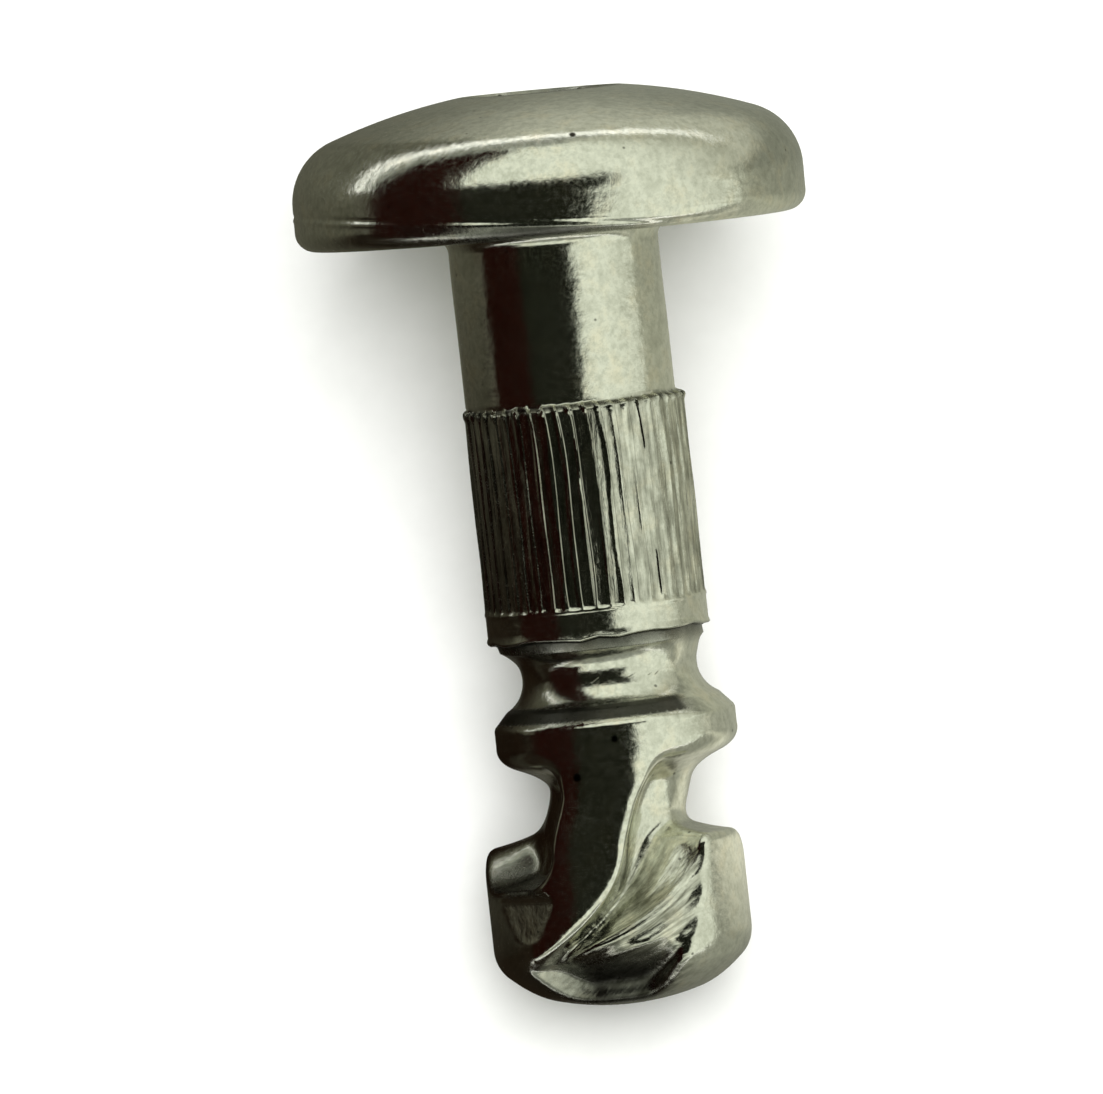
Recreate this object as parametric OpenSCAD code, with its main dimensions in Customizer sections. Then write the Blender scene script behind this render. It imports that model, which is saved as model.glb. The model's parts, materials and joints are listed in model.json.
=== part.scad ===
// Quarter-turn fastener: a one-piece plated steel stud, lying as it comes to rest.
// It lies on the rim of its domed head and on the two edges of the lower cam slot.
// Turned clockwise by a quarter, the two cam slots draw it down and snap into their seats.

/* [Head] */
// Diameter of the domed head
head_d = 14.6; // [13:0.1:17]
// Height of the head from its seat to the crown
head_h = 4.15; // [3.95:0.05:6]
// Radius of the spherical crown
crown_r = 17.5; // [15:0.5:24]
// Radius that rounds the crown into the side of the head
shoulder_r = 1.9; // [0.8:0.1:2.4]
// Radius of the lower edge of the head
rim_r = 0.55; // [0.2:0.05:0.8]
// Fillet between the seat and the shank
seat_fillet_r = 0.4; // [0.2:0.05:0.8]

/* [Drive socket] */
// Width across the flats of the hexagon socket
socket_af = 4; // [3:0.5:6]
// Depth of the socket below the crown
socket_depth = 2.4; // [1.5:0.1:3]
// Width of the lead-in round the mouth of the socket
socket_lead = 0.25; // [0.1:0.05:0.4]

/* [Shank] */
// Diameter of the plain shank
shank_d = 6; // [5:0.1:6.3]
// Length of the plain shank below the seat
shank_len = 4.9; // [2:0.1:12]

/* [Knurl] */
// Diameter over the ridges of the straight knurl
knurl_d = 6.3; // [6.2:0.05:6.8]
// Length of the knurl
knurl_len = 5.8; // [2:0.1:10]
// Depth of the grooves between the ridges
knurl_depth = 0.1; // [0.06:0.01:0.2]
// Number of ridges
knurl_ridges = 48; // [24:2:60]

/* [Retaining neck] */
// Diameter of the plain band below the knurl
band_d = 6.32; // [6:0.02:6.8]
// Length of the plain band down to its lower chamfer
band_len = 0.8; // [0.4:0.1:3]
// Drop from the band to the narrowest place of the neck
neck_drop = 1.15; // [1.1:0.05:2]
// Smallest diameter of the neck
neck_d = 5; // [4.6:0.1:5.6]
// Radius of the round groove that makes the neck
neck_r = 1; // [0.9:0.05:1.1]

/* [Cam end] */
// Diameter of the collar above the slots
collar_d = 6.9; // [6.4:0.1:7.4]
// Length of the tapered upper side of the collar
collar_taper_len = 0.45; // [0.4:0.05:1.2]
// Length of the collar from its upper edge to the ceiling of the slots
collar_len = 1; // [0.5:0.05:2]
// Diameter over the two lobes
cam_d = 7.4; // [7:0.1:8.2]
// Diameter of the core between the slots
core_d = 4; // [3.2:0.1:4.6]
// Diameter of the ceiling cone where it leaves the collar
cone_d = 6.3; // [5.2:0.1:6.6]
// Height of the cone between the ceiling of the slots and the core
cone_h = 0.6; // [0.4:0.05:1.2]
// Height of the slot where the catch slides across the lobe
slot_w = 2.45; // [1.8:0.05:2.6]
// Height of the seat that holds the catch at the end of the slot
seat_w = 3.55; // [2.9:0.05:4]
// Corner radius of the seat
seat_r = 1.15; // [0.6:0.05:1.3]
// Radius of the corner where the entry slot turns under the collar
turn_r = 1.5; // [1.2:0.05:1.7]
// Radius of the edge of the lobe that the catch slides over
lip_r = 0.3; // [0.1:0.05:0.5]
// Length of the lobes from the ceiling of the slots to the start of the tip
lobe_len = 5.75; // [4.8:0.05:7]
// Height of the chamfer between the lobes and the tip
tip_chamfer = 0.85; // [0.4:0.05:1.2]
// Radius of the domed tip
tip_r = 7.4; // [4.4:0.1:9]

/* [Slot bearings] */
// Bearing of the left wall at the top of the entry slot, in degrees
entry_left = 6.5; // [2:0.5:10]
// Bearing of the right wall at the top of the entry slot, in degrees
entry_right = 45; // [40:1:55]
// Turn of the left wall on its way down to the tip, in degrees
entry_left_turn = 55; // [40:1:60]
// Turn of the right wall on its way down to the tip, in degrees
entry_right_turn = 17.5; // [10:0.5:24]
// How late both walls turn on their way down, as a power of the way
entry_curl = 2.6; // [2:0.1:3.2]
// Bearing where the crest of the lobe starts to fall to the seat, in degrees
crest_end = 72; // [64:1:84]
// Bearing where the fall ends at the floor of the seat, in degrees
fall_end = 108; // [98:1:116]
// Bearing of the closed end of the slot, in degrees
slot_end = 151; // [144:1:156]

/* [Hidden] */
$fn = 96;

// Steel colour of the plating
plating = [0.76, 0.75, 0.70];

// Head, with heights measured up from the seat
head_r = head_d / 2;
crown_z = head_h - crown_r;
shoulder_x = head_r - shoulder_r;
shoulder_z = crown_z + sqrt(pow(crown_r - shoulder_r, 2) - pow(shoulder_x, 2));
crown_half_angle = asin(shoulder_x / (crown_r - shoulder_r));
// How far a cutting shape reaches past the surface it cuts
overrun = head_h / 4;

// Socket
socket_r = socket_af / 2 / cos(30);
socket_floor_z = head_h - socket_depth;
// Depth of the drill point below the flat of the socket
socket_point = socket_af / 2 * tan(30) / 2;
// Height of the crown above the mouth of the socket
mouth_z = crown_z + sqrt(pow(crown_r, 2) - pow(socket_r, 2));

// Heights down the stud, each below the one before
knurl_top_z = -shank_len;
knurl_end_z = knurl_top_z - knurl_len;
band_end_z = knurl_end_z - band_len;
neck_mid_z = band_end_z - neck_drop;
neck_x = neck_d / 2 + neck_r;
// The band tapers to a foot just outside the groove that makes the neck
neck_foot_share = 0.25;
neck_foot_r = neck_d / 2 + neck_r * neck_foot_share;
collar_r = collar_d / 2;
// Share of the collar radius that the neck groove reaches
collar_foot_share = 0.88;
collar_foot_r = collar_r * collar_foot_share;
collar_foot_z = neck_mid_z - sqrt(pow(neck_r, 2) - pow(neck_x - collar_foot_r, 2));
collar_top_z = collar_foot_z - collar_taper_len;
// How far the taper of the collar runs on inside the groove, as a share of its length
taper_overrun_share = 0.3;
slot_top_z = collar_top_z - collar_len;
// The collar widens into the lobes from halfway down its side
flare_z = collar_top_z - collar_len / 2;
slot_floor_z = slot_top_z - slot_w;
seat_floor_z = slot_top_z - seat_w;
chamfer_z = slot_top_z - lobe_len;
dome_x = cam_d / 2 - tip_chamfer;
dome_top_z = chamfer_z - tip_chamfer;
dome_z = dome_top_z + sqrt(pow(tip_r, 2) - pow(dome_x, 2));
tip_z = dome_z - tip_r;
// The outline of the tip starts halfway down the lobes
tip_start_z = (slot_floor_z + chamfer_z) / 2;

// Radii and slots of the cam end
shank_r = shank_d / 2;
band_r = band_d / 2;
cam_r = cam_d / 2;
core_r = core_d / 2;
// Radii between which the slot cutters reach
cut_in = core_r / 2;
cut_out = cam_r * 2;
// The turn of the slot under the collar
turn_z = slot_top_z - turn_r;
turn_bearing = entry_left + asin(turn_r / cam_r);
// Height over which the walls of the entry slot turn by their stated angles
entry_len = lobe_len - turn_r;
entry_end_z = tip_z - overrun;
// Bearings where the rounded lip and the rounded end of the slot begin
lip_bearing = entry_right + asin(lip_r / cam_r);
end_bearing = slot_end - asin(seat_r / cam_r);
// How far the ceiling cone runs on inside the collar, as a share of the wall outside it
cone_overrun_share = 0.5;

// Rings along the entry, the bends and each stretch of the slide
entry_rings = 24;
bend_rings = 8;
slide_rings = 8;

// How the stud lies
tilt_max = 30;
tilt_halvings = 24;
contact_steps = 40;

// Half outline of the head, from the seat to the crown
module head_outline() {
    ray = [sin(crown_half_angle), cos(crown_half_angle)] * (crown_r + overrun);
    square([head_r - rim_r, shoulder_z]);
    translate([0, rim_r]) square([head_r, shoulder_z - rim_r]);
    translate([head_r - rim_r, rim_r]) circle(rim_r);
    translate([shoulder_x, shoulder_z])
        intersection() {
            circle(shoulder_r);
            square(shoulder_r);
        }
    intersection() {
        translate([0, crown_z]) circle(crown_r);
        polygon([
            [0, 0],
            [-crown_z * tan(crown_half_angle), 0],
            [ray[0], crown_z + ray[1]],
            [0, crown_z + ray[1]]
        ]);
    }
}

// Half outline from the seat down to the tip, before the slots are cut
module shank_outline() {
    difference() {
        union() {
            polygon([
                [0, rim_r],
                [shank_r, rim_r],
                [shank_r, knurl_end_z],
                [band_r, knurl_end_z],
                [band_r, band_end_z],
                [neck_foot_r, band_end_z - (band_r - neck_foot_r) * tan(60)],
                [neck_foot_r, neck_mid_z],
                [collar_foot_r - (collar_r - collar_foot_r) * taper_overrun_share,
                    collar_foot_z + collar_taper_len * taper_overrun_share],
                [collar_r, collar_top_z],
                [collar_r, flare_z],
                [cam_r, slot_floor_z],
                [cam_r, chamfer_z],
                [0, chamfer_z]
            ]);
            seat_fillet_outline();
            tip_outline();
        }
        translate([neck_x, neck_mid_z]) circle(neck_r);
    }
}

// Fillet between the shank and the seat
module seat_fillet_outline() {
    difference() {
        translate([0, -seat_fillet_r]) square([shank_r + seat_fillet_r, seat_fillet_r + rim_r]);
        translate([shank_r + seat_fillet_r, -seat_fillet_r]) circle(seat_fillet_r);
    }
}

// Half outline of the tip: a chamfer that runs out in a dome
module tip_outline() {
    run = tip_chamfer + overrun;
    intersection() {
        translate([0, dome_z]) circle(tip_r);
        polygon([
            [0, tip_start_z],
            [cam_r, tip_start_z],
            [cam_r, chamfer_z],
            [cam_r - run, chamfer_z - run],
            [0, chamfer_z - run]
        ]);
    }
}

// Half outline of the core that the slots leave standing, with the cone under the collar
module core_outline() {
    cone_x = cone_d / 2;
    run = (collar_r - cone_x) * cone_overrun_share;
    run_z = slot_top_z + run * cone_h / (cone_x - core_r);
    polygon([
        [0, run_z],
        [cone_x + run, run_z],
        [core_r, slot_top_z - cone_h],
        [core_r, chamfer_z],
        [0, chamfer_z]
    ]);
    intersection() {
        tip_outline();
        translate([0, tip_z - overrun]) square([core_r, tip_start_z - tip_z + overrun]);
    }
}

// Straight knurl: narrow ridges with wide flat grooves between them
module knurl() {
    pitch = 360 / knurl_ridges;
    // Where the corners of one ridge and its groove lie, as shares of the pitch
    corner_shares = [0, 0.2, 0.32, 0.88];
    depth_shares = [0, 0, 1, 1];
    translate([0, 0, knurl_end_z])
        linear_extrude(knurl_len)
            polygon([
                for (ridge = [0 : knurl_ridges - 1], corner = [0 : 3])
                    let (angle = pitch * (ridge + corner_shares[corner]))
                    (knurl_d / 2 - knurl_depth * depth_shares[corner]) * [cos(angle), sin(angle)]
            ]);
}

// Share of the turn that the walls of the entry slot have made at a height, whole at the start of the tip
function turned(z) = pow(min(max((turn_z - z) / entry_len, 0), 1), entry_curl);
// Bearings of the two walls of the entry slot at a height
function left_wall(z) = entry_left - entry_left_turn * turned(z);
function right_wall(z) = entry_right - entry_right_turn * turned(z);
// Value between two ends at a share of the way, straight or eased at both ends
function between(start, end, share) = start + (end - start) * share;
function eased(start, end, share) = between(start, end, (1 - cos(180 * share)) / 2);
// Shares of the way along one stretch of a wall, without the start that it has from the last one
function steps(count) = [for (step = [1 : count]) step / count];
// Point on the cam at a bearing, a radius and a height
function on_cam(bearing, radius, z) = [radius * sin(bearing), -radius * cos(bearing), z];

// Upper wall of the slot as bearings and heights: up from the tip, round the turn and along the ceiling
upper_wall = concat(
    [for (share = steps(entry_rings)) let (z = between(entry_end_z, turn_z, share)) [left_wall(z), z]],
    [for (share = steps(bend_rings)) [
        turn_bearing - asin(turn_r * cos(90 * share) / cam_r),
        turn_z + turn_r * sin(90 * share)
    ]],
    [for (share = steps(slide_rings)) [between(turn_bearing, crest_end, share), slot_top_z]],
    [for (share = steps(slide_rings)) [between(crest_end, fall_end, share), slot_top_z]],
    [for (share = steps(slide_rings)) [between(fall_end, end_bearing, share), slot_top_z]],
    [for (share = steps(bend_rings)) [
        end_bearing + asin(seat_r * sin(90 * share) / cam_r),
        slot_top_z - seat_r * (1 - cos(90 * share))
    ]]
);
// Lower wall of the slot: up the lobe, over its lip and crest, down to the seat and up to the closed end
lower_wall = concat(
    [for (share = steps(entry_rings))
        let (z = between(entry_end_z, slot_floor_z - lip_r, share)) [right_wall(z), z]],
    [for (share = steps(bend_rings)) [
        lip_bearing - (lip_bearing - right_wall(slot_floor_z - lip_r)) * cos(90 * share),
        slot_floor_z - lip_r * (1 - sin(90 * share))
    ]],
    [for (share = steps(slide_rings)) [between(lip_bearing, crest_end, share), slot_floor_z]],
    [for (share = steps(slide_rings)) [
        between(crest_end, fall_end, share),
        eased(slot_floor_z, seat_floor_z, share)
    ]],
    [for (share = steps(slide_rings)) [between(fall_end, end_bearing, share), seat_floor_z]],
    [for (share = steps(bend_rings)) [
        end_bearing + asin(seat_r * sin(90 * share) / cam_r),
        seat_floor_z + seat_r * (1 - cos(90 * share))
    ]]
);

// One cam slot, lofted between its two walls from inside the core out past the lobes
module cam_slot() {
    rings = len(upper_wall);
    points = [
        for (ring = [0 : rings - 1])
            let (upper = upper_wall[ring], lower = lower_wall[ring])
            each [
                on_cam(upper[0], cut_in, upper[1]),
                on_cam(lower[0], cut_in, lower[1]),
                on_cam(lower[0], cut_out, lower[1]),
                on_cam(upper[0], cut_out, upper[1])
            ]
    ];
    sides = [
        for (ring = [0 : rings - 2], side = [0 : 3])
            let (a = 4 * ring + side, b = 4 * ring + (side + 1) % 4)
            each [[a, b, a + 4], [b, b + 4, a + 4]]
    ];
    last = 4 * (rings - 1);
    caps = [[0, 2, 1], [0, 3, 2], [last, last + 1, last + 2], [last, last + 2, last + 3]];
    polyhedron(points, concat(sides, caps));
}

// Hexagon socket in the crown, with a lead-in at its mouth and a drill point below
module drive_socket() {
    translate([0, 0, socket_floor_z]) cylinder(r = socket_r, h = socket_depth + overrun, $fn = 6);
    translate([0, 0, socket_floor_z - socket_point])
        cylinder(r1 = 0, r2 = socket_af / 2, h = socket_point);
    translate([0, 0, mouth_z - socket_lead])
        cylinder(r1 = socket_r - socket_lead, r2 = socket_r + socket_lead, h = 2 * socket_lead);
}

// The whole stud, upright, with its seat at height zero and its head above
module upright_stud() {
    difference() {
        union() {
            difference() {
                rotate_extrude() {
                    head_outline();
                    shank_outline();
                }
                for (half_turn = [0, 180]) rotate([0, 0, half_turn]) cam_slot();
            }
            rotate_extrude() core_outline();
            knurl();
        }
        drive_socket();
    }
}

// How far the rim of the head, and a slot edge of the cam, reach below the middle of the seat when tilted
function head_drop(tilt) = (head_r - rim_r) * cos(tilt) + rim_r * (1 - sin(tilt));
function edge_drop(angle, z, tilt) = cam_r * cos(max(angle, 0)) * cos(tilt) - z * sin(tilt);
function cam_drop(tilt) = max([
    for (step = [0 : contact_steps])
        let (z = slot_floor_z + (chamfer_z - slot_floor_z) * step / contact_steps)
        max(edge_drop(-left_wall(z), z, tilt), edge_drop(right_wall(z), z, tilt))
]);
// The tilt at which both reach equally far, found by halving the interval
function rest_tilt(low, high, halvings) =
    let (middle = (low + high) / 2)
    halvings == 0 ? middle
    : head_drop(middle) > cam_drop(middle) ? rest_tilt(middle, high, halvings - 1)
    : rest_tilt(low, middle, halvings - 1);

// The stud, lying on the rim of its head and on the cam, centred over the origin
module stud() {
    tilt = rest_tilt(0, tilt_max, tilt_halvings);
    crown_reach = crown_z * cos(tilt) + crown_r;
    tip_reach = dome_z * cos(tilt) - tip_r;
    color(plating)
        translate([0, -(crown_reach + tip_reach) / 2, head_drop(tilt)])
            rotate([tilt - 90, 0, 0]) upright_stud();
}

stud();
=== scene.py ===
"""Looks of the quarter-turn stud: one forged and plated steel piece, modelled as a single mesh.

The head, shank, knurl and neck are rings round the stud's axis. The cam end, with its collar, lobes and
slots, is the zero surface of a distance field, so that all its edges and corners are rounded as forging
leaves them. Lengths are in millimetres in the stud's own frame: +Z to the head, the seat of the head at
height zero, and bearings in degrees from the front, growing to the right.
"""

import json
import math

import bpy
import numpy as np
from mathutils import Matrix, Vector


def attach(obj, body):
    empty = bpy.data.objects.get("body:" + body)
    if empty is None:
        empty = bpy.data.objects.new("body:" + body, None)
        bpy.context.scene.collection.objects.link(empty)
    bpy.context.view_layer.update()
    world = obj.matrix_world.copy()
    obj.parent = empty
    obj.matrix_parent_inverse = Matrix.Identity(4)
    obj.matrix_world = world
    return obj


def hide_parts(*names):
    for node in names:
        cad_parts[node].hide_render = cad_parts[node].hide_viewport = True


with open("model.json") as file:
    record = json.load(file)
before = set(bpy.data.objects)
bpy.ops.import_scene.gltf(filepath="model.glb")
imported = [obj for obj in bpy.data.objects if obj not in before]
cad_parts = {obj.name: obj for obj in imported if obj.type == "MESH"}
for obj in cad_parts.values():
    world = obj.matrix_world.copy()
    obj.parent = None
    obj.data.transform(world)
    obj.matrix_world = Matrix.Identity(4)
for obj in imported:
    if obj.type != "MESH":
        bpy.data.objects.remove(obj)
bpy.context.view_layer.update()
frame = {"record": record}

MM = 0.001

# Head
HEAD_R = 7.3
HEAD_H = 4.15
CROWN_R = 17.5
SHOULDER_R = 1.9
RIM_R = 0.55
SEAT_FILLET_R = 0.4
FLASH_Z = 0.33
FLASH_TILT = 0.6
FLASH_H = 0.02
FLASH_W = 0.065
FLASH_FADE = (-0.02, 0.12)
FLASH_GROOVE = 1.6
HEAD_LEAN_DEG = 1.1
LEAN_START_Z = -3.0

# Drive socket
SOCKET_AF = 4.0
SOCKET_DEPTH = 2.4
SOCKET_LEAD = 0.25
SOCKET_LEAD_SHARE = 0.85
SOCKET_EDGE = 0.03
SOCKET_FLOOR_START = 0.15
SOCKET_FOOT = ((0.06, 0.0), (0.015, 0.03), (0.0, 0.12))
SOCKET_WALL_SHARES = (0.35, 0.65, 0.97, 1.0)
SOCKET_LEAD_SHARES = (0.5, 1.0)

# Shank, knurl and neck
SHANK_R = 3.0
KNURL_TOP = -4.9
KNURL_END = -10.7
RIDGE_R = 3.15
GROOVE_R = 3.112
RIDGES = 48
KNURL_LEAN_DEG = -2.6
KNURL_LEAN_LEN = 1.1
KNURL_LEAD = 0.24
BAND_R = 3.16
BAND_END = -11.5
NECK_MID = -12.65
NECK_R = 1.0
NECK_MIN_R = 2.5

# Cam end
COLLAR_R = 3.45
COLLAR_FOOT_SHARE = 0.88
COLLAR_TAPER = 0.45
COLLAR_LEN = 1.0
CAM_R = 3.7
CORE_R = 2.0
CONE_R = 3.15
CONE_H = 0.6
SLOT_W = 2.45
SEAT_W = 3.55
SEAT_R = 1.15
TURN_R = 1.5
LIP_R = 0.3
LOBE_LEN = 5.75
TIP_CHAMFER = 0.85
TIP_R = 7.4
ENTRY_LEFT = 6.5
ENTRY_RIGHT = 45.0
ENTRY_LEFT_TURN = 55.0
ENTRY_RIGHT_TURN = 17.5
ENTRY_CURL = 2.6
CREST_END = 72.0
FALL_END = 108.0
SLOT_END = 151.0

# Unevenness of the knurl: ragged top, height and shape of the ridges, their sway, chips, nicks and lips
KNURL_SEED = 7
TOP_SPREAD = 0.03
RIDGE_SPREAD = 0.25
RIDGE_LIMITS = (0.4, 1.6)
GENTLE_SHARE = 0.66
GENTLE_SPREAD = 0.08
GENTLE_LIMITS = (0.5, 0.8)
STEEP_SPAN = (0.1, 0.14)
GENTLE_END = 0.95
CORNER_SPAN = (0.3, 0.1)
RIDGE_MIDDLE = 0.4
TOP_STEP = (0.06, -0.04)
END_STEP = (0.1, -0.02)
END_CORNER = 0.16
SWAY_END = (-0.05, 0.6)
SWAY_TERMS = 4
SWAY_RATE = 2.3
SWAY_DEG = 0.25
UNEVEN = 0.3
UNEVEN_RATE = 9.0
UNEVEN_PHASE = 3.0
CHIP_H = 0.05
CHIP_DROP = 0.12
CHIP_W = 0.1
NICK_DEPTH = 0.06
NICK_DROP = 0.02
NICK_W = 0.07
END_LIP_H = 0.025
END_LIP_DROP = 0.01
END_LIP_W = 0.05
KNURL_STREAK = 0.8
FLOW_ALONG = 0.15

# Ragged lower edge of the band: steps out and down from the band's edge, and the painted shade under it
RAGGED_POINTS = 36
RAGGED_H = 0.035
RAGGED_REACH = 0.2
# Each step: outward, downward, and the painted shade there
BAND_EDGE = ((0.03, 0.05, 0.0), (0.035, 0.0, 0.2), (-0.02, -0.04, 0.7), (-0.14, -0.05, 0.95),
             (-0.22, -0.1, 0.8))
NECK_START = 0.24
# Painted shade on the upper neck under the band's edge, and where it fades
NECK_SHADE = 0.5
NECK_SHADE_SPAN = (0.55, 1.0)

# How far rolling and forging left each stretch to the right of the stud's axis
KNURL_SHIFT = 0.08
NECK_SHIFT = 0.27
LOBE_SHIFT = -0.18

# Rounding and draft of the forged slots
COLLAR_ROUND = 0.6
EDGE_ROUND = 0.22
FOOT_ROUND = 0.4
TIP_ROUND = 0.35
CONE_ROUND = 0.3
WALL_DRAFT = 0.16
WALL_SCALE = (0.4, 1.2)

# The floor of an entry slot rises in a streaky ramp towards the tip and the right
RAMP_TOP_R = 3.46
RAMP_SINK = 0.3
RAMP_START = 0.5
RAMP_LEAD = 0.3
RAMP_W = 1.9
RAMP_FALL = 0.75
RAMP_RUN = 2.0
RAMP_WAVE = 0.045
RAMP_WAVES = 9.0
RAMP_SLANT = 0.8
RAMP_STEEPNESS = 0.75
RAMP_ROUND = 0.3
RAMP_WAVE_FADE = (0.1, 0.6)

# Where the ramp fades: heights from the tip and from the crest, and shares across the slot
RAMP_TIP_FADE = (0.5, 2.0)
RAMP_CREST_FADE = (0.45, -0.1)
RAMP_LEFT_FADE = (-0.3, 0.3)
RAMP_RIGHT_FADE = (1.4, 1.1)

# Forging marks in the entry slots: the edge of a scoop at the tip and a tear-shaped burr
FLOOR_R = 2.2
SCOOP_LINE = ((22, -18.2), (17, -18.75), (0, -19.5), (-27, -20.4), (-48, -20.9), (-62, -21.3))
SCOOP_DEPTH = 0.22
SCOOP_W = 0.5
SCOOP_FOOT = 0.9
SCOOP_LIP = 0.09
SCOOP_LIP_W = 0.15
SCOOP_LIP_FADE = (0.0, 0.3)
TEAR_LINE = ((23, -18.9), (19, -19.25), (12, -19.75))
TEAR_H = 0.12
TEAR_W = 0.12
TEAR_SWELL = 0.1
TEAR_FADE = (1.0, 0.7)
MARKS_TOP = 1.2
MARKS_BEARING = 75.0

# Flat left by a blow on the left lobe
FACET_BEARING = -48.0
FACET_Z = -19.35
FACET_R = 3.53
FACET_HALF = 0.45
FACET_BOW = 1.2
FACET_LEAN_DEG = 9.0
FACET_ROUND = 0.06

# Streaks in the entry slots: shares across the slot, radii, and heights from the crest where they fade
STREAK_LEFT = (-0.02, 0.1)
STREAK_RIGHT = (1.15, 1.0)
STREAK_OUTSIDE = (3.66, 3.5)
STREAK_TOP = (0.6, -0.9)
FLOW_OUT = 0.4

# Painted shade: socket, rim, knurl, ledge above the collar, seats and feet of the slots, and where it fades
SOCKET_SHADE = 0.35
SOCKET_POINT_SHADE = 0.6
GROOVE_SHADE = 0.05
NICK_SHADE = 0.8
RIM_SHADE = 0.85
RIM_BEARING = -3.0
RIM_REACH = 26.0
RIM_FADE = (0.06, -0.04)
STEP_SHADE = 0.5
STEP_SHARE = 0.12
STEP_W = 0.035
LEDGE_TOP = -13.45
LEDGE_TOP_FADE = (0.06, 0)
LEDGE_END = -13.82
LEDGE_END_FADE = (-0.05, 0)
LEDGE_BEARING = 38.0
LEDGE_SIDE_FADE = (6, -2)
LEDGE_SHADE = 0.9
SEAT_SHADE = 0.75
SEAT_SHADE_LEFT = (-100, -75)
SEAT_SHADE_RIGHT = (-20, -30)
SEAT_SHADE_FOOT = (-0.25, 0.0)
SEAT_SHADE_TOP = (1.2, 0.5)
SEAT_SHADE_INSIDE = (0.1, 0.5)
SEAT_SHADE_OUTSIDE = (0, -0.15)
FOOT_SHADE = 0.93
FOOT_LEFT = (-0.25, 0.35)
FOOT_RIGHT = (1.04, 0.8)
FOOT_TOP = (0.6, -0.4)
FOOT_OUTSIDE = (0, -0.2)

# Mesh density: steps, and rows as distances from their two ends and a number
HEAD_COLUMNS = 192
FLOOR_STEPS = 5
CROWN_STEPS = 16
SHOULDER_STEPS = 20
SIDE_ROWS = (-0.06, 0, 14)
RIM_STEPS = 17
SEAT_ROWS = (-0.5, 0.4, 5)
FILLET_STEPS = 8
SHANK_ROWS = (0, 0.4, 9)
KNURL_TOP_ROWS = (0.16, -0.34, 13)
KNURL_MIDDLE_ROWS = (-0.5, 0.5, 24)
KNURL_END_ROWS = (0.38, -0.12, 12)
BAND_ROWS = (-0.2, 0.12, 5)
NECK_STEPS = 14
OUTLINE_STEPS = 40
OUTLINE_REACH = 2.0
SAME_POINT = 1e-6
BEND_STEPS = 16
SIDE_NECK_STEPS = 60
SIDE_NECK_ANGLE = -0.5
RIDGE_SHARES = (0.0, 0.05, 0.085, 0.1, 0.14, 0.16, 0.21, 0.4, 0.58, 0.75, 0.92)
VOXEL = 0.095
NET_MARGIN = 3 * VOXEL
SMOOTH_PASSES = 3
MIN_SLOPE = 0.05

# Pits that the plating shows, by place and radius, with their soft edge, and the scatter of small ones
PIT_EDGE = (0.6, 1.3)
DOT_SCALE = 1.1
DOT_EDGE = (0.03, 0.07)
DOT_DEPTH = 0.7
PITS = (((0.8, -6.48, 2.81), 0.1), ((-0.98, -3.3, -15.4), 0.12), ((0.19, -3.45, -14.41), 0.1))

# Derived heights and places
CROWN_Z = HEAD_H - CROWN_R
SHOULDER_X = HEAD_R - SHOULDER_R
SHOULDER_Z = CROWN_Z + math.sqrt((CROWN_R - SHOULDER_R) ** 2 - SHOULDER_X ** 2)
CROWN_HALF = math.asin(SHOULDER_X / (CROWN_R - SHOULDER_R))
SOCKET_R = SOCKET_AF / 2 / math.cos(math.radians(30))
SOCKET_FLOOR = HEAD_H - SOCKET_DEPTH
SOCKET_POINT = SOCKET_AF / 2 * math.tan(math.radians(30)) / 2
MOUTH_R = SOCKET_R + SOCKET_EDGE
MOUTH_Z = CROWN_Z + math.sqrt(CROWN_R ** 2 - MOUTH_R ** 2)
NECK_X = NECK_MIN_R + NECK_R
COLLAR_FOOT_R = COLLAR_R * COLLAR_FOOT_SHARE
COLLAR_FOOT = NECK_MID - math.sqrt(NECK_R ** 2 - (NECK_X - COLLAR_FOOT_R) ** 2)
COLLAR_TOP = COLLAR_FOOT - COLLAR_TAPER
SLOT_TOP = COLLAR_TOP - COLLAR_LEN
FLARE = COLLAR_TOP - COLLAR_LEN / 2
SLOT_FLOOR = SLOT_TOP - SLOT_W
SEAT_FLOOR = SLOT_TOP - SEAT_W
CHAMFER = SLOT_TOP - LOBE_LEN
DOME_X = CAM_R - TIP_CHAMFER
DOME_Z = CHAMFER - TIP_CHAMFER + math.sqrt(TIP_R ** 2 - DOME_X ** 2)
TIP = DOME_Z - TIP_R
TURN_Z = SLOT_TOP - TURN_R

# Heights between which the stud's middle moves from one stretch's place to the next
KNURL_SHIFT_SPAN = (KNURL_TOP + 0.15, KNURL_TOP - 0.1)
NECK_SHIFT_SPAN = (BAND_END - 0.05, NECK_MID + 0.3)
LOBE_SHIFT_SPAN = (SLOT_TOP - 0.6, SLOT_FLOOR - 0.1)

# Heights between which the rounding of the edges grows from the slots' to the collar's
COLLAR_ROUND_SPAN = (SLOT_TOP - 0.8, SLOT_TOP - 0.1)


def smooth_step(low, high, value):
    share = np.clip((value - low) / (high - low), 0, 1)
    return share * share * (3 - 2 * share)


def step_from(base, span, value):
    """Rises from zero to one between two places that are measured from a base."""
    return smooth_step(base + span[0], base + span[1], value)


def bell(gap, width):
    return np.exp(-(gap / width) ** 2)


def rows_between(start, end, rows):
    """Even places from start to end, each moved by its part of rows, whose last part is their number."""
    return np.linspace(start + rows[0], end + rows[1], rows[2])


def smooth_min(a, b, width):
    near = np.maximum(width - np.abs(a - b), 0) / width
    return np.minimum(a, b) - near * near * width / 4


def smooth_max(a, b, width):
    return -smooth_min(-a, -b, width)


def on_stud(bearing_deg, radius, z):
    """Points at bearings, radii and heights."""
    bearing = np.radians(bearing_deg)
    radius = np.broadcast_to(radius, bearing.shape)
    height = np.broadcast_to(z, bearing.shape)
    return np.stack([radius * np.sin(bearing), -radius * np.cos(bearing), height], -1)


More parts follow.
